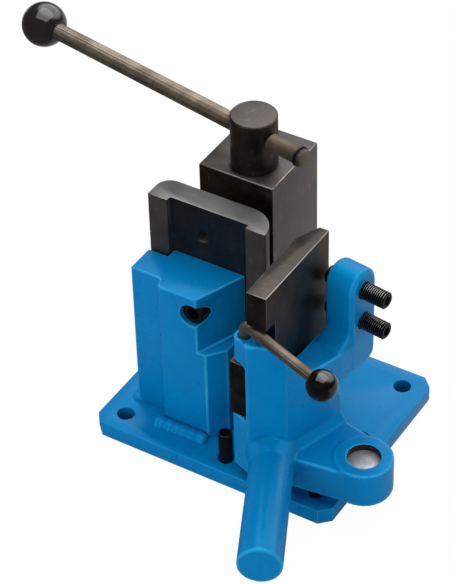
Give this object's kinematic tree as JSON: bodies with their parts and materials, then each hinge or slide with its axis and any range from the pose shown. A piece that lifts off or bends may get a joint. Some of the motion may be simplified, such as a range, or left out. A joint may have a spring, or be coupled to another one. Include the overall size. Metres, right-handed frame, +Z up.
{
  "type": "eccentric bar bender",
  "caption": "Bench bar bender: an eccentric lever clamps the bar against a radius die, and a handled arm with an adjustable jaw swings round a post to bend it.",
  "frame": {"origin": "centre of the base plate's underside", "axes": "+X along the long side of the base plate, towards the lug; +Y away from the handle side; +Z up"},
  "size_m": [0.488, 0.3501, 0.2995],
  "materials": {
    "blue_paint": "gloss blue enamel over cast and welded steel",
    "black_steel": "blackened tool steel, worn bright at the edges",
    "bright_steel": "turned bright steel",
    "rod_steel": "drawn steel with a brown cast",
    "bronze": "plain bearing bronze",
    "black_plastic": "polished black thermoset"
  },
  "bodies": {
    "base": {"base_plate": "blue_paint", "upright": "blue_paint", "radius_die": "black_steel", "die_screw": "black_steel", "clamp_pedestal": "blue_paint", "guide_keys": "bright_steel", "key_screws": "black_steel", "shaft_bush": "bronze", "shaft_lock_screw": "black_steel", "pivot_post": "bright_steel", "thrust_ring": "bright_steel", "cap_washer": "bright_steel", "cap_screw": "black_steel", "stop_pin": "black_steel"},
    "clamp": {"clamp_block": "black_steel"},
    "eccentric": {"eccentric_shaft": "black_steel"},
    "lever": {"clamp_lever": "rod_steel", "lever_end_ring": "black_steel", "lever_ball": "black_plastic"},
    "arm": {"bending_arm": "blue_paint", "arm_bush": "bronze", "handle_bar": "blue_paint", "lug_pin": "bright_steel"},
    "jaw": {"bending_jaw": "black_steel"},
    "jaw_screws": {"jaw_screw_upper": "black_steel", "jaw_screw_lower": "black_steel"},
    "jaw_lock": {"lock_spindle": "black_steel", "lock_lever": "rod_steel", "lock_knob": "black_plastic"}
  },
  "joints": [
    {"name": "arm_swing", "type": "hinge", "parent": "base", "child": "arm", "pos_m": [0.0175, 0.004, 0.063], "axis": [0, 0, 1], "range_deg": [-6.5, 92]},
    {"name": "clamp_lever_turn", "type": "hinge", "parent": "base", "child": "eccentric", "pos_m": [-0.0375, 0.0513, 0.08], "axis": [0, 0, 1], "range_deg": [-60, 0]},
    {"name": "clamp_feed", "type": "slide", "parent": "base", "child": "clamp", "axis": [0, 1, 0], "range_m": [0, 0.005]},
    {"name": "clamp_lever_slide", "type": "slide", "parent": "eccentric", "child": "lever", "axis": [-0.982, 0.1891, 0], "range_m": [-0.22, 0.03]},
    {"name": "jaw_adjust", "type": "hinge", "parent": "arm", "child": "jaw", "pos_m": [0.037, -0.0915, 0.12], "axis": [0, 0, 1], "range_deg": [-1.5, 1.5]},
    {"name": "jaw_screw_feed", "type": "slide", "parent": "arm", "child": "jaw_screws", "axis": [0.9914, -0.1305, 0], "range_m": [-0.0026, 0.0026]},
    {"name": "jaw_lock_turn", "type": "hinge", "parent": "arm", "child": "jaw_lock", "pos_m": [0.037, -0.0915, 0.17], "axis": [0, 0, 1], "range_deg": [-90, 10]}
  ],
  "couplings": [
    {"joint": "clamp_feed", "follows": "clamp_lever_turn", "m_per_rad": -0.00477},
    {"joint": "jaw_screw_feed", "follows": "jaw_adjust", "m_per_rad": -0.0956}
  ]
}
